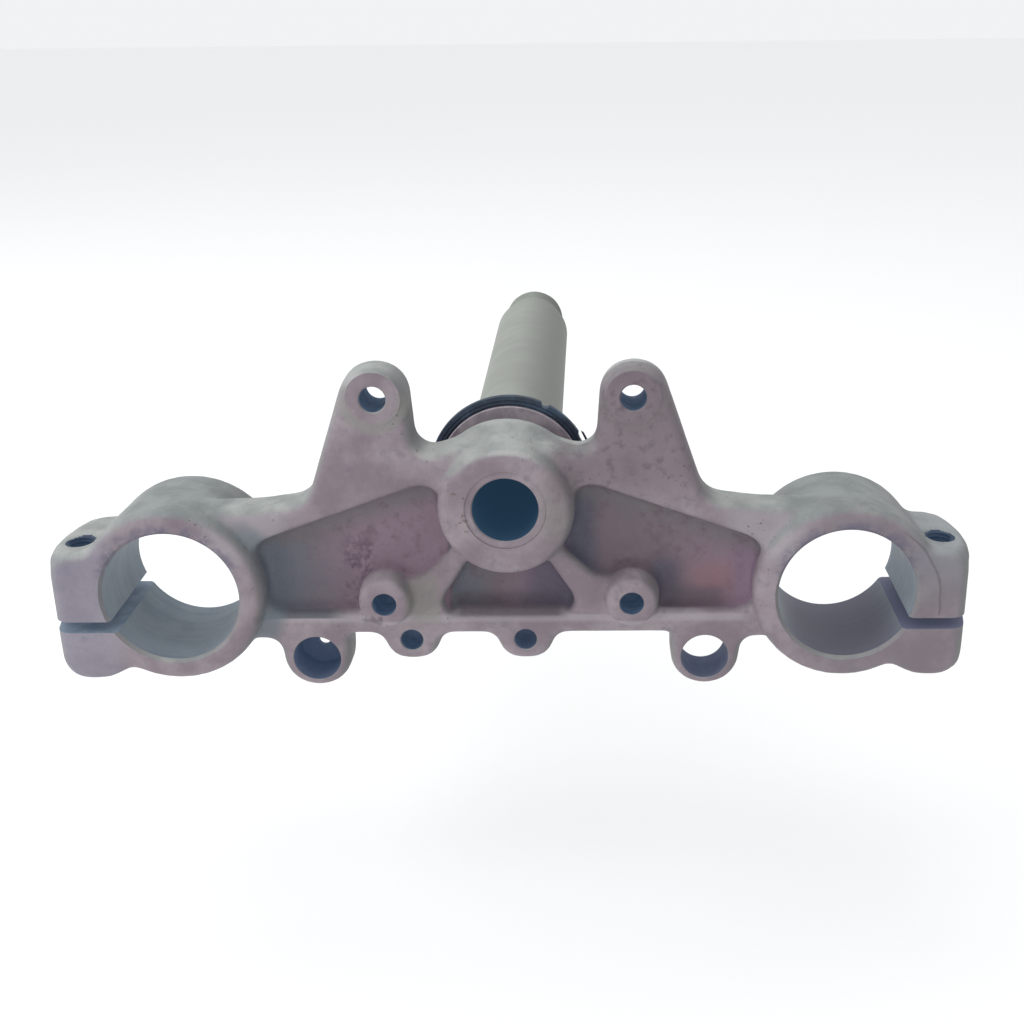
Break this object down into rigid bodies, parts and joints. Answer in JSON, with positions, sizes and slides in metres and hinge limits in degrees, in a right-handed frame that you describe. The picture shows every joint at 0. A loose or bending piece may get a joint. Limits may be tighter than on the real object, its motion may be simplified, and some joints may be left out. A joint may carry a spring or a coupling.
{
  "type": "motorcycle triple clamp",
  "caption": "Cast lower fork yoke with split fork clamps, upright bracket ears, ribbed pockets, a pressed-in steering stem, bearing washer and torn rubber dust seal.",
  "frame": {"origin": "on the stem's axis, at the shoulder of the centre boss that carries the lower bearing's washer", "axes": "+X across the yoke to the picture's right-hand clamp, +Y up the steering stem, away from the underside that the picture shows, +Z towards the bracket ears"},
  "size_m": [0.2782, 0.24, 0.1017],
  "materials": {
    "cast_aluminium": "matt, sand cast, stained",
    "stem_steel": "ground, dull",
    "washer_steel": "dull",
    "seal_rubber": "matt, worn"
  },
  "bodies": {
    "root": {"lower_yoke": "cast_aluminium", "steering_stem": "stem_steel", "seal_washer": "washer_steel", "dust_seal": "seal_rubber"}
  },
  "joints": []
}
